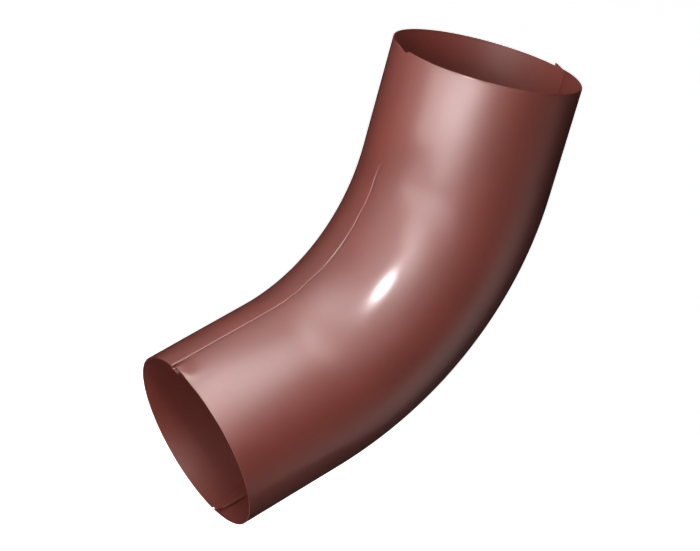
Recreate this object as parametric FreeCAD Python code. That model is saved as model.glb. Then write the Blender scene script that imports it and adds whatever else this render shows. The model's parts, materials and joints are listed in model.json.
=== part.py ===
"""Round downspout elbow of painted sheet steel: two pressed half shells joined by folded seams.

Frame: the origin is the centre of the inlet's rim and +Z points up out of the inlet.
The pipe bends towards -X. The front half shell lies on the -Y side, the back one on +Y.
An angle around the pipe starts at the inside of the bend (-X) and grows through the front (-Y).
All lengths are in millimetres and all angles in degrees.
"""

import FreeCAD
import Part
import math
import os

Vector = FreeCAD.Vector

# Pipe
outlet_radius = 50.0  # outside of the lower end, which plugs into the next pipe
socket_clearance = 1.2  # radial room between a pipe of the outlet's size and the inlet's wall
sheet = 0.6  # thickness of the steel
bend_angle = 60.0
bend_radius = 146.0  # of the pipe's centre line
inlet_straight = 62.0
outlet_straight = 61.0

# Folded seam, the same at the inside and at the outside of the bend
layer_gap = 0.15  # paint and air between two layers of a seam
fold_setback = 1.2  # from the plane of the bend to the centre of the front sheet's fold
hook_length = 4.5  # between the centres of the two folds
hook_cut_back = 3.5  # the hooks stop this far short of the outlet's rim
hook_relief = 1.0  # the hooks stop this far short of the inlet's straight, along the centre line
fold_flats = 4  # a half turn in the seam is drawn as this many flats, which keeps it light

# Plain lap in the inlet, where the hooks stop so that the socket stays clear
lap_ramp = 14.0  # length over which the front sheet's flanges step outwards
inner_flange_width = 14.5  # of the back sheet's flange under the front one, inside the bend
outer_flange_width = 8.0  # the same at the outside of the bend
joggle_width = 16.0  # of the gentle step in the front sheet, across the flange
outer_lap_reach = 3.4  # of the front sheet past the plane of the bend, at the outside of the bend

# Corners of the front sheet
corner_notch_width = 3.4  # beyond the centre of the fold, along a rim
corner_notch_depth = 3.2  # along the seam
ear_height = 1.5  # of the corner that stands above the inlet's rim
ear_width = 6.4

inlet_radius = outlet_radius + socket_clearance + sheet  # outside of the inlet
layer_pitch = sheet + layer_gap
seam_depth = 4 * layer_pitch
bend_centre = Vector(-bend_radius, 0, -inlet_straight)
hook_start = hook_relief / (bend_radius * math.radians(bend_angle))  # as a share of the bend
axis_point = Vector(0, 0, 0)


def turn_of(length, radius):
    """Angle that a length along the pipe's wall covers."""
    return math.degrees(length / radius)


def polar(radius, angle):
    """Point of a section, from its distance to the axis and its angle around the pipe."""
    turn = math.radians(angle)
    return Vector(-radius * math.cos(turn), -radius * math.sin(turn), 0)


def arc_edge(centre, radius, start, end):
    """Arc about a point of the section, from one angle to another, either way round."""
    points = [centre + polar(radius, angle) for angle in (start, (start + end) / 2, end)]
    return Part.Arc(*points).toShape()


def bend_edges(centre, radius, start, end):
    """One face of a bend in the sheet: an arc on the pipe's round, or flats on a tight fold."""
    if radius > seam_depth:
        return [arc_edge(centre, radius, start, end)]
    flats = max(1, round(abs(end - start) / 180 * fold_flats))
    step = (end - start) / flats
    points = [centre + polar(radius, start + step * index) for index in range(flats + 1)]
    return [Part.makeLine(*ends) for ends in zip(points, points[1:])]


def mirrored(centre, radius, start, end):
    """The same bend of a sheet at the opposite side of the pipe, run in the other direction."""
    return Vector(-centre.x, centre.y, 0), radius, 180 - end, 180 - start


def sheet_outline(bends):
    """Closed outline of a sheet whose middle line is a chain of tangent arcs."""
    left = []
    right = []
    for centre, radius, start, end in bends:
        side = math.copysign(sheet / 2, end - start)
        left += bend_edges(centre, radius - side, start, end)
        right = bend_edges(centre, radius + side, end, start) + right
    end_cap = Part.makeLine(left[-1].lastVertex(True).Point, right[0].firstVertex(True).Point)
    start_cap = Part.makeLine(right[-1].lastVertex(True).Point, left[0].firstVertex(True).Point)
    return Part.Wire(left + [end_cap] + right + [start_cap])


def fold_angles(radius):
    """Angles of the centre of the front sheet's fold and of the back sheet's fold."""
    front_fold = -turn_of(fold_setback, radius)
    return front_fold, front_fold + turn_of(hook_length, radius)


def front_section(radius, hooked):
    """Front half shell: one round sheet, each edge folded inwards and back under itself."""
    middle = radius - sheet / 2
    front_fold, back_fold = fold_angles(radius)
    body = (axis_point, middle, front_fold, 180 - front_fold)
    if not hooked:
        return sheet_outline([body])
    leg = (axis_point, middle - 2 * layer_pitch, back_fold, front_fold)
    fold = (polar(middle - layer_pitch, front_fold), layer_pitch, front_fold + 180, front_fold + 360)
    return sheet_outline([leg, fold, body, mirrored(*fold), mirrored(*leg)])


def back_section(radius, hooked):
    """Back half shell: each edge steps inwards round the front sheet's fold, then hooks into it."""
    middle = radius - sheet / 2
    front_fold, back_fold = fold_angles(radius)
    orbit = middle - layer_pitch  # distance of the front sheet's fold from the pipe's axis
    lean = math.degrees(math.asin(1.5 * layer_pitch / orbit))
    shoulder_end = front_fold - 2 * lean
    base = (axis_point, middle - 3 * layer_pitch, back_fold, front_fold)
    wrap = (polar(orbit, front_fold), 2 * layer_pitch, front_fold + 180, front_fold + 270 - lean)
    shoulder = (polar(orbit, shoulder_end), layer_pitch, front_fold + 90 - lean, shoulder_end)
    edge = [base, wrap, shoulder]
    if hooked:
        leg = (axis_point, orbit, front_fold, back_fold)
        fold = (polar(middle - 2 * layer_pitch, back_fold), layer_pitch, back_fold, back_fold + 180)
        edge = [leg, fold] + edge
    body = (axis_point, middle, shoulder_end, -180 - shoulder_end)
    return sheet_outline(edge + [body] + [mirrored(*bend) for bend in reversed(edge)])


def joggle_edge(radius, rise, start, end):
    """Smooth step of the sheet outwards by the rise, from one angle to another."""
    steps = 24
    points = []
    for index in range(steps + 1):
        share = index / steps
        eased = share * share * (3 - 2 * share)
        points.append(polar(radius + rise * eased, start + (end - start) * share))
    curve = Part.BSplineCurve()
    curve.interpolate(points)
    return curve.toShape()


def front_lap_section(rise, outer_reach):
    """Front half shell in the inlet: both flanges stand outwards by the rise, over the back sheet's."""
    inner_edge = fold_angles(inlet_radius)[0]
    outer_edge = 180 + turn_of(outer_reach, inlet_radius)
    inner_flat = inner_edge + turn_of(inner_flange_width + layer_gap, inlet_radius)
    outer_flat = 180 - inner_edge - turn_of(outer_flange_width + layer_gap, inlet_radius)
    step = turn_of(joggle_width, inlet_radius)
    edges = []
    for radius in (inlet_radius, inlet_radius - sheet):
        edges += [
            arc_edge(axis_point, radius + rise, inner_edge, inner_flat),
            joggle_edge(radius, rise, inner_flat + step, inner_flat),
            arc_edge(axis_point, radius, inner_flat + step, outer_flat - step),
            joggle_edge(radius, rise, outer_flat - step, outer_flat),
            arc_edge(axis_point, radius + rise, outer_flat, outer_edge),
        ]
    for angle in (inner_edge, outer_edge):
        outer_corner = polar(inlet_radius + rise, angle)
        edges.append(Part.makeLine(outer_corner, polar(inlet_radius - sheet + rise, angle)))
    return Part.Wire(Part.__sortEdges__(edges))


def back_plain_section(inner_reach, outer_reach):
    """Back half shell in the inlet: a round sheet that reaches this far past the front sheet's edges."""
    edge = fold_angles(inlet_radius)[0]
    inner_edge = edge + turn_of(inner_reach, inlet_radius)
    outer_edge = -180 - edge - turn_of(outer_reach, inlet_radius)
    return sheet_outline([(axis_point, inlet_radius - sheet / 2, inner_edge, outer_edge)])


def at_height(shape, height):
    return shape.translated(Vector(0, 0, height))


def round_the_bend(shape, angle=bend_angle):
    """Carry a shape from the inlet's end of the bend towards the outlet's."""
    return shape.rotated(bend_centre, Vector(0, 1, 0), angle)


def straight(section, bottom, length):
    """Sheet of one section, standing on the inlet's axis."""
    return Part.Face(at_height(section, bottom)).extrude(Vector(0, 0, length))


def outlet_run(section, start, length):
    """Sheet of one section on the outlet's axis, from a distance below the bend."""
    return round_the_bend(straight(section, -inlet_straight - start - length, length))


def bend(section, hooked, first, last):
    """Sheet carried from one share of the bend to another, narrowing towards the outlet."""
    outlines = []
    for share in (first, last):
        radius = inlet_radius + (outlet_radius - inlet_radius) * share
        outline = at_height(section(radius, hooked), -inlet_straight)
        outlines.append(round_the_bend(outline, bend_angle * share))
    start = Part.Vertex(0, 0, -inlet_straight)
    shares = (first, (first + last) / 2, last)
    line = [round_the_bend(start, bend_angle * share).Point for share in shares]
    return Part.Wire(Part.Arc(*line).toShape()).makePipeShell(outlines, True, True)


def seamed_run(section):
    """Both bends of a half shell's seam and its outlet, with the hooks cut back at either end."""
    hooked_length = outlet_straight - hook_cut_back
    return [
        bend(section, False, 0, hook_start),
        bend(section, True, hook_start, 1),
        outlet_run(section(outlet_radius, True), 0, hooked_length),
        outlet_run(section(outlet_radius, False), hooked_length, hook_cut_back),
    ]


def joined(pieces):
    """One sheet from stretches that meet face to face."""
    return pieces[0].multiFuse(pieces[1:]).removeSplitter()


def wedge(outline, reach):
    """Prism from an outline of (y, z) points at the pipe's axis, out to one side of the pipe."""
    points = [Vector(0, y, z) for y, z in outline]
    return Part.Face(Part.makePolygon(points + points[:1])).extrude(Vector(reach, 0, 0))


def inner_corner_cutter(radius, rim, inwards):
    """Slanting cut across the front sheet's corner at the inside of the bend, as on the inlet's axis."""
    near = fold_setback - corner_notch_width
    beyond = fold_setback + layer_gap
    depth = corner_notch_depth * (beyond - near) / corner_notch_width
    outline = [(near, 0), (near, -1), (beyond, -1), (beyond, depth)]
    return wedge([(y, rim + inwards * z) for y, z in outline], -2 * radius)


def ear():
    """Corner of the front sheet's outer flange that stands above the inlet's rim, as a sloping tab."""
    tip = outer_lap_reach + layer_gap
    outline = [(tip - ear_width, 0), (tip, 0), (tip, ear_height)]
    flange = straight(front_lap_section(layer_pitch, outer_lap_reach), 0, ear_height)
    return flange.common(wedge(outline, 2 * inlet_radius))


def lap_ramp_shell():
    """Front sheet between the bend and the socket, where its flanges rise to clear the back sheet's."""
    flat = at_height(front_lap_section(0, fold_setback), -inlet_straight)
    raised = at_height(front_lap_section(layer_pitch, fold_setback), lap_ramp - inlet_straight)
    return Part.makeLoft([flat, raised], True, True)


def front_half_shell():
    socket = inlet_straight - lap_ramp
    lapped = front_lap_section(layer_pitch, outer_lap_reach)
    inlet = [ear(), straight(lapped, -socket, socket), lap_ramp_shell()]
    shell = joined(inlet + seamed_run(front_section))
    inlet_cutter = inner_corner_cutter(inlet_radius, 0, -1)
    outlet_cutter = inner_corner_cutter(outlet_radius, -inlet_straight - outlet_straight, 1)
    return shell.cut(inlet_cutter).cut(round_the_bend(outlet_cutter))


def back_half_shell():
    socket = inlet_straight - lap_ramp
    inlet = [
        straight(back_plain_section(inner_flange_width, outer_flange_width), -socket, socket),
        straight(back_plain_section(-layer_gap, -layer_gap), -inlet_straight, lap_ramp),
    ]
    return joined(inlet + seamed_run(back_section))


os.makedirs("parts", exist_ok=True)
shells = {"front_half_shell": front_half_shell(), "back_half_shell": back_half_shell()}
for name, shell in shells.items():
    shell.exportStep("parts/" + name + ".step")
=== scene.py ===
"""Looks of the downspout elbow: two half shells of painted sheet steel, joined by folded seams.

The file is laid out as an add-on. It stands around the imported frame, whose origin is the centre of
the inlet's rim, with +Z out of the inlet. The pipe bends towards -X, and the front half shell lies
on the -Y side. An angle around the pipe starts at the inside of the bend and grows through the
front. A station is a distance along the pipe's centre line from the inlet's rim. Lengths are in
metres and angles in radians.
"""

import json
import math

import bmesh
import bpy
import numpy as np
from bpy.props import FloatProperty, FloatVectorProperty, PointerProperty
from mathutils import Euler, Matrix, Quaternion, Vector


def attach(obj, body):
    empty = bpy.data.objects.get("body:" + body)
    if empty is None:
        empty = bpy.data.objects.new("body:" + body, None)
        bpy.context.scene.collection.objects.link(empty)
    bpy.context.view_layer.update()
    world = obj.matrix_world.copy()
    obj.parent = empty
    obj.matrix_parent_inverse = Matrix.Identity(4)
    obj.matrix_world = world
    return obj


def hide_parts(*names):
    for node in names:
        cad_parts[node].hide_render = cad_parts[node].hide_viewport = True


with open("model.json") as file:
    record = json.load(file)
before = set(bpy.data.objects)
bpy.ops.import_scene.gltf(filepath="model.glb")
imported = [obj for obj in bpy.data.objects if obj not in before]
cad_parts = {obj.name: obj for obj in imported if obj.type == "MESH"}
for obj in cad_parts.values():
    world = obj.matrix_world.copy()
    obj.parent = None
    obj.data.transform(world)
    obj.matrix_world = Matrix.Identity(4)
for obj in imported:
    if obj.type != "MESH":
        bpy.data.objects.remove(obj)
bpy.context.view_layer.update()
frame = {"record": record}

bl_info = {
    "name": "Downspout elbow",
    "version": (1, 0, 0),
    "blender": (4, 5, 0),
    "location": "3D View > Sidebar > Elbow",
    "description": "Builds the painted sheet steel of a seamed downspout elbow around its frame",
    "category": "Add Mesh",
}

MM = 0.001
BODY = "root"

# Mesh density: columns run across a sheet and rows along the pipe
EDGE_COLUMNS = 38  # close columns next to each seam
MIDDLE_COLUMNS = 84  # wider ones between them
NOTCH_COLUMNS = 6  # of the close ones in the front sheet, across a corner's notch
BACK_EDGE_STEP = 0.6 * MM  # between the close ones in the back sheet
OUTER_LAP_COLUMNS = 6
LEG_COLUMNS = 4  # in a leg of a hook, or in a strip as wide
FLAT_COLUMNS = 2  # in a short flat between two folds
RISER_COLUMNS = 3  # in the flat between a step's two folds
FOLD_COLUMNS = 8  # in a quarter turn
RIM_ROWS = 12  # next to the inlet's rim
CURL_ROWS = 5  # of those, in the turn of its cut edge
SOCKET_ROWS = 10
RAMP_ROWS = 20
BEND_ROWS = 96
OUTLET_ROWS = 12
OUTLET_RIM_ROWS = 48
OUTLET_RIM_REACH = 26 * MM  # where the close rows before the outlet's rim start
ROW_DIGITS = 7  # places after the point of a row's station
ROW_SPACE = 0.25 * MM  # no row is nearer than this to the start or the end of the hooks
ROW_MATCH = 0.01 * MM  # and within this it is taken for that start or end itself
NEAR = 1e-6  # slack in the choice of rows

OUTER_SEAM = (-1, 1)  # turns a section at the seam inside the bend into one at the outer seam

# Finish of a sheet's edges
RIM_REACH = 9 * MM  # how far a corner's cut or a dip in a rim moves the rows next to it
WELD_DISTANCE = 0.003 * MM
BEVEL_WIDTH = 0.24 * MM  # the paint rounds the cut edges
BEVEL_SEGMENTS = 3
BEVEL_ANGLE = math.radians(60)
SHARP_ANGLE = math.radians(38)
CURL_EASE = 0.6  # share by which the rim's curl is less over the flanges, which it stays clear of
OUT_OF_REACH = 1.0  # a distance from any corner's notch at which it moves nothing

# Bulge of the front sheet's corner at the outlet
FLARE_HEIGHT = 7 * MM  # of the bell curve by which it falls away from the rim
FLARE_AT_EDGE = 0.35  # share of the bulge that the sheet's own edge has
FLARE_RISE = 4 * MM  # the bulge is full this far from the edge
FLARE_TOP = 7 * MM  # from here it falls to the edge's share, over the next length
FLARE_FALL = 11 * MM
FLARE_FADE_START = 9 * MM  # and from here all of it runs out, over the next length
FLARE_FADE = 9 * MM

# Paint. A noise's scale is the number of its cells in a metre
PAINT_SHINE = 0.9  # specular level under the clear coat
CLOUD_SCALE = 18
CLOUD_RANGE = (0.35, 0.65)  # noise levels that give the dark colour and the plain one
PEEL_SCALE = 900
PEEL_STRENGTH = 0.04
PEEL_DEPTH = 0.2 * MM

# Stage
FLOOR_LEVEL = -0.76  # the elbow hangs half a metre above the floor
FLOOR_REACH = 14
FLOOR_COLOUR = (0.85, 0.85, 0.85, 1)
FLOOR_GLOW = 0.97  # how bright the floor shows, where 1 is white
SKY_LIGHT = 0.03  # what the world adds to the light on the object
FLAGS_COLOUR = (0.01, 0.01, 0.01, 1)
FLAGS_REACH = 2.4  # to each side of the frame's origin, and above it
FLAGS_GAP = 0.02  # between the black cards and the floor
GLOW_WIDTH = 3  # half a lamp's width over its glow's, which is that of a bell curve
MIDDLE = Vector((-0.05, 0, -0.12))  # of the elbow, which the lamps point at
CAMERA_PLACE = (-0.74624, -0.79836, 0.22607)
CAMERA_TURN = (71.0435, -14.6648, -35.9990)  # in degrees
CAMERA_LENS = 107.91  # in millimetres, for a sensor 36 mm wide
CAMERA_SENSOR = 36


def length_property(name, description, millimetres):
    """Size of the part that a user can change."""
    return FloatProperty(
        name=name, description=description, default=millimetres * MM,
        subtype="DISTANCE", unit="LENGTH",
    )


class ElbowSeamSizes(bpy.types.PropertyGroup):
    """Sizes of the sheet, of its folded seams and of the plain lap in the inlet."""

    sheet: length_property("Sheet", "Thickness of the steel", 0.6)
    layer_gap: length_property("Layer gap", "Paint and air between two layers of a seam", 0.15)
    fold_setback: length_property("Fold setback", "From the bend's plane to the front fold", 1.2)
    hook_length: length_property("Hook length", "Between the centres of a seam's two folds", 4.5)
    hook_cut_back: length_property("Hook cut back", "The hooks stop this far short of the outlet", 3.5)
    hook_relief: length_property("Hook relief", "The hooks start this far into the bend", 1.0)
    lap_ramp: length_property("Lap ramp", "Length over which the front flanges step outwards", 30.0)
    inner_flange_width: length_property("Inner flange", "Back flange inside the bend", 14.5)
    outer_flange_width: length_property("Outer flange", "Back flange outside the bend", 8.0)
    joggle_width: length_property("Joggle width", "Of the front sheet's gentle step, along a rim", 28.0)
    joggle_start: length_property("Joggle start", "Of that step, before the flange's edge", 3.0)
    outer_lap_reach: length_property("Outer lap reach", "Front sheet past the outside seam", 3.4)
    corner_notch_width: length_property("Corner notch width", "Along a rim, from the sheet's edge", 3.4)
    corner_notch_depth: length_property("Corner notch depth", "Along the seam", 3.2)
    ear_height: length_property("Ear height", "Corner that stands above the inlet's rim", 1.5)
    ear_width: length_property("Ear width", "Width of that corner along the rim", 6.4)
    corner_flare: length_property("Corner flare", "Outward bulge of the front outlet corner", 1.6)
    rim_curl: length_property("Rim curl", "Inward turn of the front sheet's inlet rim", 0.3)
    rim_curl_height: length_property("Rim curl height", "Height of that turn", 0.8)
    corner_radius: length_property("Corner radius", "Of a fold, at the sheet's middle", 0.32)
    rim_dip: length_property("Rim dip", "Depth of the dip in the back sheet's rim at the inlet", 1.5)
    rim_dip_place: length_property("Rim dip place", "Along the rim, from the seam inside the bend", 3.5)
    rim_dip_reach: length_property("Rim dip reach", "Half width of that dip", 6.5)
    seam_slit: length_property("Seam slit", "Width added to the slit along the whole seam", 0.2)
    seam_opening_width: length_property("Seam opening", "Where the seam stands slightly open", 0.3)
    seam_opening_length: length_property("Seam opening length", "Of each such place", 12.0)
    seam_openings: FloatVectorProperty(
        name="Seam openings", description="Distances of those places from the inlet's rim",
        size=3, subtype="XYZ_LENGTH", unit="LENGTH", default=(0.074, 0.108, 0.171),
    )


class ElbowPaint(bpy.types.PropertyGroup):
    """Colours and gloss of the paint."""

    colour: FloatVectorProperty(
        name="Paint", description="Colour of the paint", subtype="COLOR", size=3,
        min=0, max=1, default=(0.195, 0.031, 0.019),
    )
    dark_colour: FloatVectorProperty(
        name="Dark paint", description="Colour where the coat is thicker", subtype="COLOR", size=3,
        min=0, max=1, default=(0.165, 0.026, 0.016),
    )
    gloss_roughness: FloatProperty(
        name="Roughness", description="Roughness under the clear coat", subtype="FACTOR",
        min=0, max=1, default=0.55,
    )
    coat_roughness: FloatProperty(
        name="Coat roughness", description="Roughness of the clear coat", subtype="FACTOR",
        min=0, max=1, default=0.18,
    )


def mount(name):
    """One of the record's mounts: where the elbow joins its neighbours, with the real sizes."""
    return next(entry for entry in frame["record"]["mounts"] if entry["name"] == name)


class Pipe:
    """Centre line and radius of the pipe, worked out from the frame's two mounts."""

    def __init__(self, sheet):
        inlet = mount("inlet_socket")
        outlet = mount("outlet_spigot")
        self.inlet_radius = inlet["dims"]["r_mm"] * MM + sheet
        self.outlet_radius = outlet["dims"]["r_mm"] * MM
        self.inlet_straight = inlet["dims"]["length_mm"] * MM
        self.outlet_straight = outlet["dims"]["length_mm"] * MM
        self.turn = math.acos(-outlet["axis"][2])
        rim = outlet["pos_m"][0]
        across = self.outlet_straight * math.sin(self.turn)
        self.bend_radius = -(rim + across) / (1 - math.cos(self.turn))
        self.bend_end = self.inlet_straight + self.bend_radius * self.turn
        self.length = self.bend_end + self.outlet_straight

    def bend_share(self, station):
        """How far round the bend a station lies, from 0 to 1."""
        return np.clip((station - self.inlet_straight) / (self.bend_end - self.inlet_straight), 0, 1)

    def radius(self, station):
        """Outside radius at a station: it narrows round the bend, gently at both of its ends."""
        share = self.bend_share(station)
        change = self.outlet_radius - self.inlet_radius
        return self.inlet_radius + change * share * share * (3 - 2 * share)

    def place(self, station, inward, frontward):
        """Points at stations, from their distances towards the bend's inside and towards the front."""
        angle = self.turn * self.bend_share(station)
        before = np.minimum(station, self.inlet_straight)
        after = np.maximum(station - self.bend_end, 0)
        reach = inward - self.bend_radius
        x = -self.bend_radius - reach * np.cos(angle) - after * np.sin(angle)
        z = -before + reach * np.sin(angle) - after * np.cos(angle)
        return np.stack([x, -frontward * np.ones_like(x), z], axis=-1)


def eased(share):
    """Smooth step from 0 to 1."""
    share = np.clip(share, 0, 1)
    return share ** 3 * (10 - 15 * share + 6 * share * share)


def bend_line(centre, radius, start, end, count):
    """Points on a bend of a sheet, drawn as (along the wall, depth), between angles in degrees."""
    angle = np.radians(np.linspace(start, end, count + 1))
    along = centre[0] + radius * np.cos(angle)
    depth = centre[1] - radius * np.sin(angle)
    return np.stack([along, depth], axis=-1)


def flat_line(start, end, count):
    """Points on a flat of a sheet, drawn as (along the wall, depth)."""
    return np.linspace(start, end, count + 1)


def chain(lines):
    """One run of section points from lines that meet end to end."""
    return np.concatenate([lines[0]] + [line[1:] for line in lines[1:]])


def edge_spaced(span, step):
    """Distances across a sheet: close columns along both of its edges and wider ones between."""
    close = step * np.arange(EDGE_COLUMNS)
    middle = np.linspace(close[-1], span - close[-1], MIDDLE_COLUMNS + 1)[1:-1]
    return np.concatenate([close, middle, (span - close)[::-1]])


class SheetMesh:
    """Middle surface of a sheet, put together from strips that meet along their edges."""

    def __init__(self):
        self.points = []
        self.faces = []
        self.count = 0

    def add_strip(self, points):
        """Quads over a grid of points, with one row for each station."""
        rows, columns = points.shape[:2]
        index = self.count + np.arange(rows * columns).reshape(rows, columns)
        corners = [index[:-1, :-1], index[:-1, 1:], index[1:, 1:], index[1:, :-1]]
        self.points.append(points.reshape(-1, 3))
        self.faces.append(np.stack(corners, axis=-1).reshape(-1, 4))
        self.count += rows * columns

    def build(self, name, sheet, material):
        """Solid piece of a sheet's thickness, with its cut edges slightly rounded."""
        mesh = bpy.data.meshes.new(name)
        points, faces = np.concatenate(self.points), np.concatenate(self.faces)
        mesh.from_pydata(points.tolist(), [], faces.tolist())
        welded = bmesh.new()
        welded.from_mesh(mesh)
        bmesh.ops.remove_doubles(welded, verts=welded.verts, dist=WELD_DISTANCE)
        bmesh.ops.recalc_face_normals(welded, faces=welded.faces)
        welded.to_mesh(mesh)
        welded.free()
        draft = bpy.data.objects.new(name + "_draft", mesh)
        bpy.context.collection.objects.link(draft)
        thickness = draft.modifiers.new("Thickness", "SOLIDIFY")
        thickness.thickness = sheet
        thickness.offset = 0
        thickness.use_even_offset = True
        thickness.use_rim = True
        rounding = draft.modifiers.new("Cut edges", "BEVEL")
        rounding.width = BEVEL_WIDTH
        rounding.segments = BEVEL_SEGMENTS
        rounding.limit_method = "ANGLE"
        rounding.angle_limit = BEVEL_ANGLE
        graph = bpy.context.evaluated_depsgraph_get()
        solid = bpy.data.meshes.new_from_object(draft.evaluated_get(graph))
        bpy.data.objects.remove(draft)
        bpy.data.meshes.remove(mesh)
        solid.name = name
        solid.shade_smooth()
        solid.set_sharp_from_angle(angle=SHARP_ANGLE)
        solid.materials.clear()
        solid.materials.append(material)
        piece = bpy.data.objects.new(name, solid)
        bpy.context.collection.objects.link(piece)
        return piece


class SeamPlan:
    """Where the layers of a seam lie, and the stations between which each part of it runs."""

    def __init__(self, sizes):
        self.sizes = sizes
        self.pipe = Pipe(sizes.sheet)
        self.pitch = sizes.sheet + sizes.layer_gap
        self.shoulder = 4 * self.pitch  # from the front's body to the back's, over the seam's slit
        self.socket_end = self.pipe.inlet_straight - sizes.lap_ramp
        self.ramp_end = self.pipe.inlet_straight
        self.hooks_start = self.pipe.inlet_straight + sizes.hook_relief
        self.hooks_end = self.pipe.length - sizes.hook_cut_back
        self.stations = self.row_stations()

    def row_stations(self):
        """Rows along the pipe: close near both rims and round the bend, and one at each change."""
        pipe = self.pipe
        curl = np.linspace(0, self.sizes.rim_curl_height, CURL_ROWS)
        rim = np.linspace(0, RIM_REACH, RIM_ROWS)[2:]  # the curl's rows stand for the first two
        socket = np.linspace(RIM_REACH, self.socket_end, SOCKET_ROWS)
        ramp = np.linspace(self.socket_end, self.ramp_end, RAMP_ROWS)
        bend = np.linspace(pipe.inlet_straight, pipe.bend_end, BEND_ROWS + 1)
        outlet = np.linspace(pipe.bend_end, pipe.length - OUTLET_RIM_REACH, OUTLET_ROWS)
        last = np.linspace(pipe.length - OUTLET_RIM_REACH, pipe.length, OUTLET_RIM_ROWS)
        marks = np.array([self.hooks_start, self.hooks_end])
        rows = np.concatenate([curl, rim, socket, ramp, bend, outlet, last, marks])
        rows = np.unique(np.round(rows, ROW_DIGITS))
        keep = np.ones(len(rows), bool)
        for mark in marks:
            away = np.abs(rows - mark)
            keep &= (away > ROW_SPACE) | (away < ROW_MATCH)
        return rows[keep]

    def rows(self, first, last):
        """Stations from one to another, both ends included."""
        return self.stations[(self.stations > first - NEAR) & (self.stations < last + NEAR)]

    def middle(self, station):
        """Radius of the sheet's middle surface."""
        return float(self.pipe.radius(station)) - self.sizes.sheet / 2

    def edge_angle(self, station):
        """Angle at which the front sheet's round body ends and its fold begins."""
        return -self.sizes.fold_setback / float(self.pipe.radius(station))

    def wrapped(self, station, path):
        """Section points from a path drawn flat, which counts along the wall from the front's body."""
        middle = self.middle(station)
        angle = self.edge_angle(station) + path[:, 0] / middle
        distance = middle - path[:, 1]
        return np.stack([distance * np.cos(angle), distance * np.sin(angle)], axis=-1)

    def carried(self, rows, section):
        """Grid of points from a section that is worked out anew at each station."""
        grid = []
        for station in rows:
            points = section(station)
            grid.append(self.pipe.place(station, points[:, 0], points[:, 1]))
        return np.array(grid)

    def both_sides(self, mesh, rows, section):
        """The same strip at the seam inside the bend and at the one outside it."""
        mesh.add_strip(self.carried(rows, section))
        mesh.add_strip(self.carried(rows, lambda station: section(station) * OUTER_SEAM))


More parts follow.
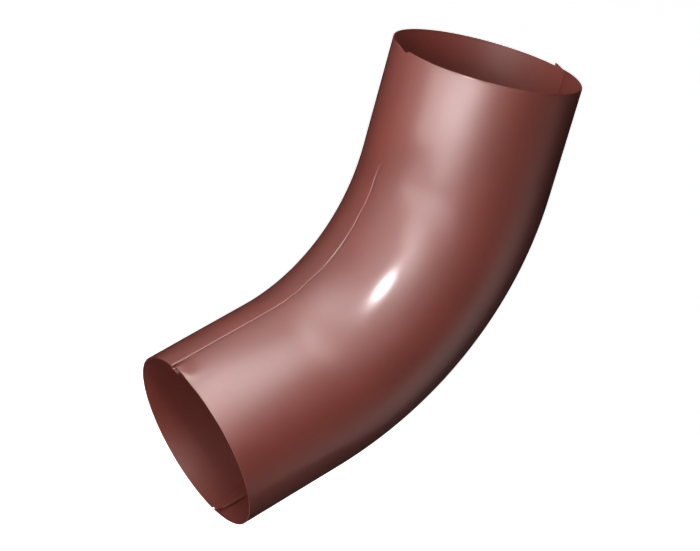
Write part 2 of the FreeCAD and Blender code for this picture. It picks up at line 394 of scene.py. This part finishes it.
class FrontShell(SeamPlan):
    """Front half shell: its edges fold inwards, and its flanges lie outside in the inlet."""

    def hook(self, station):
        """Leg and fold of the hook, up to the body's edge."""
        pitch = self.pitch
        corner = self.sizes.corner_radius
        level = pitch - corner
        path = chain([
            flat_line((self.sizes.hook_length, 2 * pitch), (-level, 2 * pitch), LEG_COLUMNS),
            bend_line((-level, 2 * pitch - corner), corner, 270, 180, FOLD_COLUMNS),
            flat_line((-pitch, 2 * pitch - corner), (-pitch, corner), FLAT_COLUMNS),
            bend_line((-level, corner), corner, 180, 90, FOLD_COLUMNS),
            flat_line((-level, 0), (0, 0), FLAT_COLUMNS),
        ])
        return self.wrapped(station, path)

    def rim_shift(self, from_edge, from_outer_edge, station):
        """How far the corner notches move a point along the pipe, away from either rim."""
        sizes = self.sizes
        notch = np.clip(1 - from_edge / sizes.corner_notch_width, 0, 1) * sizes.corner_notch_depth
        near_inlet = np.clip(1 - station / RIM_REACH, 0, 1)
        near_outlet = np.clip(1 - (self.pipe.length - station) / RIM_REACH, 0, 1)
        ear = np.clip(1 - from_outer_edge / sizes.ear_width, 0, 1) * sizes.ear_height
        return notch * (near_inlet - near_outlet) - ear * near_inlet

    def lift(self, from_inner, from_outer, station):
        """Outward step of both flanges over the back sheet's, next to either edge."""
        sizes = self.sizes
        inner = from_inner - sizes.inner_flange_width + sizes.joggle_start
        outer = from_outer - sizes.outer_flange_width + sizes.joggle_start
        across = 2 - eased(inner / sizes.joggle_width) - eased(outer / sizes.joggle_width)
        along = 1 - eased((station - self.socket_end) / sizes.lap_ramp)
        return self.pitch * across * along

    def flare(self, from_edge, station):
        """Outward bulge of the corner at the outlet's rim, inside the bend."""
        to_rim = self.pipe.length - station
        along = math.exp(-((to_rim / FLARE_HEIGHT) ** 2))
        across = eased(from_edge / FLARE_RISE) * (1 - eased((from_edge - FLARE_TOP) / FLARE_FALL))
        share = FLARE_AT_EDGE + (1 - FLARE_AT_EDGE) * across
        fade = 1 - eased((from_edge - FLARE_FADE_START) / FLARE_FADE)
        return self.sizes.corner_flare * along * share * fade

    def curl(self, lift, station):
        """How far the inlet's cut edge turns inwards: less where the sheet is lifted over a flange."""
        rise = max(1 - station / self.sizes.rim_curl_height, 0)
        return self.sizes.rim_curl * rise * rise * (1 - CURL_EASE * lift / self.pitch)

    def body_row(self, station):
        """Points of the body at one station, from the seam inside the bend to the outer one."""
        radius = float(self.pipe.radius(station))
        edge_angle = self.edge_angle(station)
        span = (math.pi - 2 * edge_angle) * radius
        across = edge_spaced(span, self.sizes.corner_notch_width / NOTCH_COLUMNS)
        from_outer_edge = span - across + self.sizes.outer_lap_reach - self.sizes.fold_setback
        lift = self.lift(across, span - across, station)
        lift = lift + self.flare(across, station) - self.curl(lift, station)
        angle = edge_angle + across / radius
        distance = self.middle(station) + lift
        moved = station + self.rim_shift(across, from_outer_edge, station)
        return self.pipe.place(moved, distance * np.cos(angle), distance * np.sin(angle))

    def outer_lap_row(self, station):
        """Points of the flange past the outer seam, which is there in the socket only."""
        radius = float(self.pipe.radius(station))
        edge_angle = math.pi - self.edge_angle(station)
        reach = self.sizes.outer_lap_reach - self.sizes.fold_setback
        across = np.linspace(0, reach, OUTER_LAP_COLUMNS + 1)
        angle = edge_angle + across / radius
        distance = self.middle(station) + self.pitch - self.curl(self.pitch, station)
        from_notch = np.full_like(across, OUT_OF_REACH)
        moved = station + self.rim_shift(from_notch, reach - across, station)
        return self.pipe.place(moved, distance * np.cos(angle), distance * np.sin(angle))

    def build(self, name, material):
        """The whole front sheet as one piece."""
        mesh = SheetMesh()
        socket = self.rows(0, self.socket_end)
        mesh.add_strip(np.array([self.body_row(station) for station in self.stations]))
        mesh.add_strip(np.array([self.outer_lap_row(station) for station in socket]))
        self.both_sides(mesh, self.rows(self.hooks_start, self.hooks_end), self.hook)
        return mesh.build(name, self.sizes.sheet, material)


class BackShell(SeamPlan):
    """Back half shell: its edges step inwards round the front folds and hook into them."""

    def shoulder_end(self, station):
        """Angle at which the round body starts."""
        return self.edge_angle(station) - self.shoulder / self.middle(station)

    def opening(self, station):
        """Extra width of the slit in the seam, which stands slightly open in a few places."""
        places = self.sizes.seam_openings
        reach = self.sizes.seam_opening_length / 2
        width = sum(math.exp(-(((station - place) / reach) ** 4)) for place in places)
        return self.sizes.seam_slit + self.sizes.seam_opening_width * width

    def hook(self, station):
        """Leg and fold of the hook, down to the seam's base."""
        length = self.sizes.hook_length
        path = chain([
            flat_line((0, self.pitch), (length, self.pitch), LEG_COLUMNS),
            bend_line((length, 2 * self.pitch), self.pitch, 90, -90, 2 * FOLD_COLUMNS),
        ])
        return self.wrapped(station, path)

    def step(self, station):
        """Base of the seam and the step up to the body, round the front sheet's fold."""
        pitch = self.pitch
        corner = self.sizes.corner_radius
        wall = self.shelf_start(station) + corner
        path = chain([
            flat_line((self.sizes.hook_length, 3 * pitch), (0, 3 * pitch), LEG_COLUMNS),
            flat_line((0, 3 * pitch), (wall + pitch, 3 * pitch), FLAT_COLUMNS),
            bend_line((wall + pitch, 2 * pitch), pitch, 270, 180, FOLD_COLUMNS),
            flat_line((wall, 2 * pitch), (wall, corner), RISER_COLUMNS),
            bend_line((wall - corner, corner), corner, 0, 90, FOLD_COLUMNS),
        ])
        return self.wrapped(station, path)

    def shelf_start(self, station):
        """Where the wall is level again beyond the step, measured along it from the front's body."""
        return -2 * self.pitch - self.opening(station) - self.sizes.corner_radius

    def shelf(self, station):
        """Level strip between the step and the body, which runs from rim to rim."""
        path = flat_line((self.shelf_start(station), 0), (-self.shoulder, 0), FLAT_COLUMNS)
        return self.wrapped(station, path)

    def plain_edge(self, station):
        """Level strip in the place of the step, up to the front sheet's edge."""
        path = flat_line((-self.sizes.layer_gap, 0), (self.shelf_start(station), 0), LEG_COLUMNS)
        return self.wrapped(station, path)

    def rim_dip(self, across, station):
        """How far the rim dips at the inlet, next to the seam inside the bend."""
        sizes = self.sizes
        depth = np.clip(1 - np.abs(across - sizes.rim_dip_place) / sizes.rim_dip_reach, 0, 1)
        return sizes.rim_dip * depth * np.clip(1 - station / RIM_REACH, 0, 1)

    def body_row(self, station):
        """Points of the body at one station, from the seam inside the bend to the outer one."""
        radius = self.middle(station)
        start = self.shoulder_end(station)
        across = edge_spaced((math.pi + 2 * start) * radius, BACK_EDGE_STEP)
        angle = start - across / radius
        moved = station + self.rim_dip(across, station)
        return self.pipe.place(moved, radius * np.cos(angle), radius * np.sin(angle))

    def inner_flange(self, station):
        """Strip that reaches under the front sheet at the seam inside the bend."""
        return self.flange(self.sizes.inner_flange_width, station)

    def outer_flange(self, station):
        """The same at the seam outside the bend."""
        return self.flange(self.sizes.outer_flange_width, station) * OUTER_SEAM

    def flange(self, reach, station):
        """Strip that ends at a distance from the front sheet's edge."""
        path = flat_line((reach, 0), (-self.sizes.layer_gap, 0), 2 * LEG_COLUMNS)
        return self.wrapped(station, path)

    def build(self, name, material):
        """The whole back sheet as one piece."""
        mesh = SheetMesh()
        socket = self.rows(0, self.socket_end)
        mesh.add_strip(np.array([self.body_row(station) for station in self.stations]))
        mesh.add_strip(self.carried(socket, self.inner_flange))
        mesh.add_strip(self.carried(socket, self.outer_flange))
        self.both_sides(mesh, self.rows(0, self.ramp_end), self.plain_edge)
        self.both_sides(mesh, self.stations, self.shelf)
        self.both_sides(mesh, self.rows(self.ramp_end, self.pipe.length), self.step)
        self.both_sides(mesh, self.rows(self.hooks_start, self.hooks_end), self.hook)
        return mesh.build(name, self.sizes.sheet, material)


def link(tree, source, output, target, entry):
    """Join an output of one node to an input of another, each by its name or its place."""
    tree.links.new(source.outputs[output], target.inputs[entry])


def paint_material(paint):
    """Baked enamel on steel: a slightly uneven red-brown under a thin clear coat."""
    material = bpy.data.materials.new("Red-brown enamel")
    material.use_nodes = True
    tree = material.node_tree
    nodes = tree.nodes
    shader = nodes["Principled BSDF"]
    place = nodes.new("ShaderNodeTexCoord")
    cloud = nodes.new("ShaderNodeTexNoise")
    cloud.inputs["Scale"].default_value = CLOUD_SCALE
    cloud.inputs["Detail"].default_value = 3
    tint = nodes.new("ShaderNodeValToRGB")
    colours = (paint.dark_colour, paint.colour)
    for stop, position, colour in zip(tint.color_ramp.elements, CLOUD_RANGE, colours):
        stop.position = position
        stop.color = (*colour, 1)
    peel = nodes.new("ShaderNodeTexNoise")
    peel.inputs["Scale"].default_value = PEEL_SCALE
    peel.inputs["Detail"].default_value = 2
    bump = nodes.new("ShaderNodeBump")
    bump.inputs["Strength"].default_value = PEEL_STRENGTH
    bump.inputs["Distance"].default_value = PEEL_DEPTH
    link(tree, place, "Object", cloud, "Vector")
    link(tree, place, "Object", peel, "Vector")
    link(tree, cloud, "Fac", tint, "Fac")
    link(tree, tint, "Color", shader, "Base Color")
    link(tree, peel, "Fac", bump, "Height")
    link(tree, bump, "Normal", shader, "Normal")
    shader.inputs["Roughness"].default_value = paint.gloss_roughness
    shader.inputs["Specular IOR Level"].default_value = PAINT_SHINE
    shader.inputs["Coat Weight"].default_value = 1.0
    shader.inputs["Coat Roughness"].default_value = paint.coat_roughness
    return material


def shown_white(tree, rays):
    """Output that is 1 for the rays that see the background and 0 for those that light the object."""
    total = rays.outputs["Is Camera Ray"]
    for ray in ("Is Glossy Ray", "Is Transmission Ray"):
        add = tree.nodes.new("ShaderNodeMath")
        add.operation = "MAXIMUM"
        tree.links.new(total, add.inputs[0])
        tree.links.new(rays.outputs[ray], add.inputs[1])
        total = add.outputs[0]
    return total


def floor_material():
    """Pale matt floor that shows white and still takes a shadow."""
    material = bpy.data.materials.new("Pale floor")
    material.use_nodes = True
    tree = material.node_tree
    shader = tree.nodes["Principled BSDF"]
    rays = tree.nodes.new("ShaderNodeLightPath")
    shader.inputs["Base Color"].default_value = FLOOR_COLOUR
    shader.inputs["Roughness"].default_value = 0.9
    shader.inputs["Specular IOR Level"].default_value = 0
    shader.inputs["Emission Color"].default_value = (1, 1, 1, 1)
    glow = tree.nodes.new("ShaderNodeMath")
    glow.operation = "MULTIPLY"
    glow.inputs[1].default_value = FLOOR_GLOW
    tree.links.new(shown_white(tree, rays), glow.inputs[0])
    link(tree, glow, 0, shader, "Emission Strength")
    return material


def studio_world():
    """Dim even light on the object, behind a white backdrop."""
    world = bpy.data.worlds.new("Studio")
    bpy.context.scene.world = world
    world.use_nodes = True
    tree = world.node_tree
    sky = tree.nodes["Background"]
    sky.inputs["Color"].default_value = (1, 1, 1, 1)
    rays = tree.nodes.new("ShaderNodeLightPath")
    strength = tree.nodes.new("ShaderNodeMapRange")
    strength.inputs["To Min"].default_value = SKY_LIGHT
    strength.inputs["To Max"].default_value = 1.0
    tree.links.new(shown_white(tree, rays), strength.inputs["Value"])
    link(tree, strength, "Result", sky, "Strength")


def card(name, corners, faces, material):
    """Mesh of the stage: a floor or flags."""
    mesh = bpy.data.meshes.new(name)
    mesh.from_pydata(corners, [], faces)
    mesh.materials.append(material)
    stage_object = bpy.data.objects.new(name, mesh)
    bpy.context.collection.objects.link(stage_object)
    return stage_object


def black_flags():
    """Black cards all round the set: they show in the gloss only, and keep its edges dark."""
    material = bpy.data.materials.new("Black card")
    material.use_nodes = True
    shader = material.node_tree.nodes["Principled BSDF"]
    shader.inputs["Base Color"].default_value = FLAGS_COLOUR
    shader.inputs["Roughness"].default_value = 1
    shader.inputs["Specular IOR Level"].default_value = 0
    levels = (FLOOR_LEVEL + FLAGS_GAP, FLAGS_REACH)
    sides = (-FLAGS_REACH, FLAGS_REACH)
    corners = [(x, y, z) for z in levels for y in sides for x in sides]
    faces = [(0, 2, 3, 1), (4, 5, 7, 6), (0, 1, 5, 4), (2, 6, 7, 3), (0, 4, 6, 2), (1, 3, 7, 5)]
    flags = card("black_flags", corners, faces, material)
    flags.visible_camera = False
    flags.visible_diffuse = False
    flags.visible_transmission = False
    flags.visible_shadow = False


def soft_glow(data):
    """Shader of a soft lamp, whose glow falls off like a bell curve towards its rim."""
    data.use_nodes = True
    tree = data.node_tree
    surface = tree.nodes.new("ShaderNodeNewGeometry")
    centred = tree.nodes.new("ShaderNodeVectorMath")
    centred.operation = "SUBTRACT"
    centred.inputs[1].default_value = (0.5, 0.5, 0)
    squared = tree.nodes.new("ShaderNodeVectorMath")
    squared.operation = "DOT_PRODUCT"
    falloff = tree.nodes.new("ShaderNodeMath")
    falloff.operation = "MULTIPLY"
    falloff.inputs[1].default_value = -2 * GLOW_WIDTH ** 2
    bell = tree.nodes.new("ShaderNodeMath")
    bell.operation = "EXPONENT"
    link(tree, surface, "Parametric", centred, 0)
    link(tree, centred, "Vector", squared, 0)
    link(tree, centred, "Vector", squared, 1)
    link(tree, squared, "Value", falloff, 0)
    link(tree, falloff, 0, bell, 0)
    link(tree, bell, 0, tree.nodes["Emission"], "Strength")


def lamp(name, direction, distance, width, height, turn, level,
         soft=True, in_gloss=True, in_colour=True):
    """Oval lamp, aimed at the elbow's middle.

    Its direction from there is an azimuth and an elevation, and its turn rolls it, all in degrees.
    Its width and height are those of its glow. Its level is how brightly it would light a white card
    at the middle, where 1 shows as white. A lamp that isn't soft is evenly bright up to its rim. One
    kept out of the gloss only lifts the colour, and one kept out of the colour only shows in the gloss.
    """
    azimuth, elevation = (math.radians(angle) for angle in direction)
    away = Vector((
        math.cos(elevation) * math.cos(azimuth),
        math.cos(elevation) * math.sin(azimuth),
        math.sin(elevation),
    ))
    data = bpy.data.lights.new(name, "AREA")
    data.shape = "ELLIPSE"
    data.size = 2 * GLOW_WIDTH * width
    data.size_y = 2 * GLOW_WIDTH * height
    data.energy = math.pi * level * distance ** 2
    if soft:
        data.energy *= GLOW_WIDTH ** 2 / 2  # makes up for what the fall to the rim takes away
        soft_glow(data)
    lamp_object = bpy.data.objects.new(name, data)
    lamp_object.location = MIDDLE + away * distance
    facing = away.to_track_quat("Z", "Y") @ Quaternion((0, 0, 1), math.radians(turn))
    lamp_object.rotation_euler = facing.to_euler()
    lamp_object.visible_camera = False
    lamp_object.visible_glossy = in_gloss
    lamp_object.visible_diffuse = in_colour
    bpy.context.collection.objects.link(lamp_object)


def lamps():
    """Lamps beside the camera, on its left and above, then weak ones and fills all round.

    The columns are the name, the direction, the distance, the glow's width and height, the turn and
    the level. The camera's right and the underside stay dark.
    """
    lamp("camera_lamp", (-141.8, 26.2), 0.39, 0.012, 0.014, 83, 1.25, soft=False)
    lamp("camera_glow", (-141.6, 26.0), 0.34, 0.028, 0.032, 76, 0.50)
    lamp("low_strip", (-145.7, -8.2), 0.94, 0.320, 0.054, 1, 0.60)
    lamp("left_lamp", (177.8, 18.0), 0.33, 0.070, 0.208, -56, 0.85)
    lamp("high_strip", (-176.0, 59.3), 0.39, 0.301, 0.088, -25, 1.50)
    lamp("left_low_lamp", (-179.5, -8.2), 0.93, 0.050, 0.166, -89, 0.24)
    lamp("inlet_strip", (-154.1, 6.6), 0.33, 0.040, 0.140, -86, 0.36, in_colour=False)
    lamp("inlet_glow", (-143.7, 11.2), 0.26, 0.070, 0.019, 8, 0.60, in_colour=False)
    lamp("outlet_glow", (178.0, 47.5), 0.205, 0.080, 0.022, 0, 0.66, in_colour=False)
    lamp("outlet_strip", (-126.2, 63.7), 0.68, 0.258, 0.050, -46, 1.00, in_colour=False)
    lamp("front_lamp", (-109.4, 17.3), 0.35, 0.097, 0.102, -69, 0.30)
    lamp("back_lamp", (134.8, 37.2), 0.51, 0.318, 0.320, 88, 1.05, in_colour=False)
    lamp("back_fill", (130.0, 25.0), 0.90, 0.300, 0.300, 0, 0.40, in_gloss=False)
    lamp("right_lamp", (-35.0, -25.5), 0.90, 0.196, 0.232, 19, 0.16)
    lamp("outlet_lamp", (-164.0, -42.0), 0.34, 0.040, 0.040, 0, 0.80)
    lamp("mouth_lamp", (0.0, 79.5), 0.275, 0.030, 0.030, 0, 1.00, in_gloss=False)
    lamp("far_side_lamp", (64.0, 6.0), 1.40, 0.300, 0.300, 0, 1.60, in_gloss=False)
    lamp("far_side_low_lamp", (22.0, -8.0), 1.40, 0.200, 0.200, 0, 1.00, in_gloss=False)


def camera():
    """Camera at the photograph's angle, distance and lens."""
    data = bpy.data.cameras.new("Camera")
    data.sensor_fit = "HORIZONTAL"
    data.sensor_width = CAMERA_SENSOR
    data.lens = CAMERA_LENS
    data.clip_start = 0.05
    data.clip_end = 100
    eye = bpy.data.objects.new("Camera", data)
    eye.location = CAMERA_PLACE
    eye.rotation_euler = Euler([math.radians(angle) for angle in CAMERA_TURN])
    bpy.context.collection.objects.link(eye)
    bpy.context.scene.camera = eye


def dressed(piece, node):
    """Let a finished piece stand for its node of the frame."""
    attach(piece, BODY)
    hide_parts(node)


def painted():
    """The paint, made once for both half shells."""
    found = bpy.data.materials.get("Red-brown enamel")
    return found or paint_material(bpy.context.scene.elbow_paint)


class ELBOW_OT_front_half_shell(bpy.types.Operator):
    """Build the front half shell around its node of the frame"""

    bl_idname = "elbow.front_half_shell"
    bl_label = "Front half shell"

    def execute(self, context):
        piece = FrontShell(context.scene.elbow_seam).build("front_shell", painted())
        dressed(piece, "front_half_shell")
        return {"FINISHED"}


class ELBOW_OT_back_half_shell(bpy.types.Operator):
    """Build the back half shell around its node of the frame"""

    bl_idname = "elbow.back_half_shell"
    bl_label = "Back half shell"

    def execute(self, context):
        piece = BackShell(context.scene.elbow_seam).build("back_shell", painted())
        dressed(piece, "back_half_shell")
        return {"FINISHED"}


class ELBOW_OT_stage(bpy.types.Operator):
    """Build the floor, the lamps, the backdrop and the camera"""

    bl_idname = "elbow.stage"
    bl_label = "Stage"

    def execute(self, context):
        context.scene.view_settings.view_transform = "Standard"
        quarters = ((-1, -1), (1, -1), (1, 1), (-1, 1))
        corners = [(x * FLOOR_REACH, y * FLOOR_REACH, FLOOR_LEVEL) for x, y in quarters]
        card("floor", corners, [(0, 1, 2, 3)], floor_material())
        black_flags()
        studio_world()
        lamps()
        camera()
        return {"FINISHED"}


class ELBOW_PT_panel(bpy.types.Panel):
    """Sizes, paint and pieces of the elbow"""

    bl_idname = "ELBOW_PT_panel"
    bl_label = "Downspout elbow"
    bl_space_type = "VIEW_3D"
    bl_region_type = "UI"
    bl_category = "Elbow"

    def draw(self, context):
        """List every size, the paint and the button of each operator."""
        layout = self.layout
        for group in (context.scene.elbow_seam, context.scene.elbow_paint):
            for name in group.__annotations__:
                layout.prop(group, name)
        for operator in OPERATORS:
            layout.operator(operator.bl_idname)


OPERATORS = (ELBOW_OT_front_half_shell, ELBOW_OT_back_half_shell, ELBOW_OT_stage)
CLASSES = (ElbowSeamSizes, ElbowPaint) + OPERATORS + (ELBOW_PT_panel,)


def register():
    """Add the classes, and the sizes and paint to the scene."""
    for cls in CLASSES:
        bpy.utils.register_class(cls)
    bpy.types.Scene.elbow_seam = PointerProperty(type=ElbowSeamSizes)
    bpy.types.Scene.elbow_paint = PointerProperty(type=ElbowPaint)


def unregister():
    """Take all of that out again."""
    del bpy.types.Scene.elbow_paint
    del bpy.types.Scene.elbow_seam
    for cls in reversed(CLASSES):
        bpy.utils.unregister_class(cls)


def main():
    register()
    bpy.ops.elbow.front_half_shell()
    bpy.ops.elbow.back_half_shell()
    bpy.ops.elbow.stage()


if __name__ == "__main__":
    main()
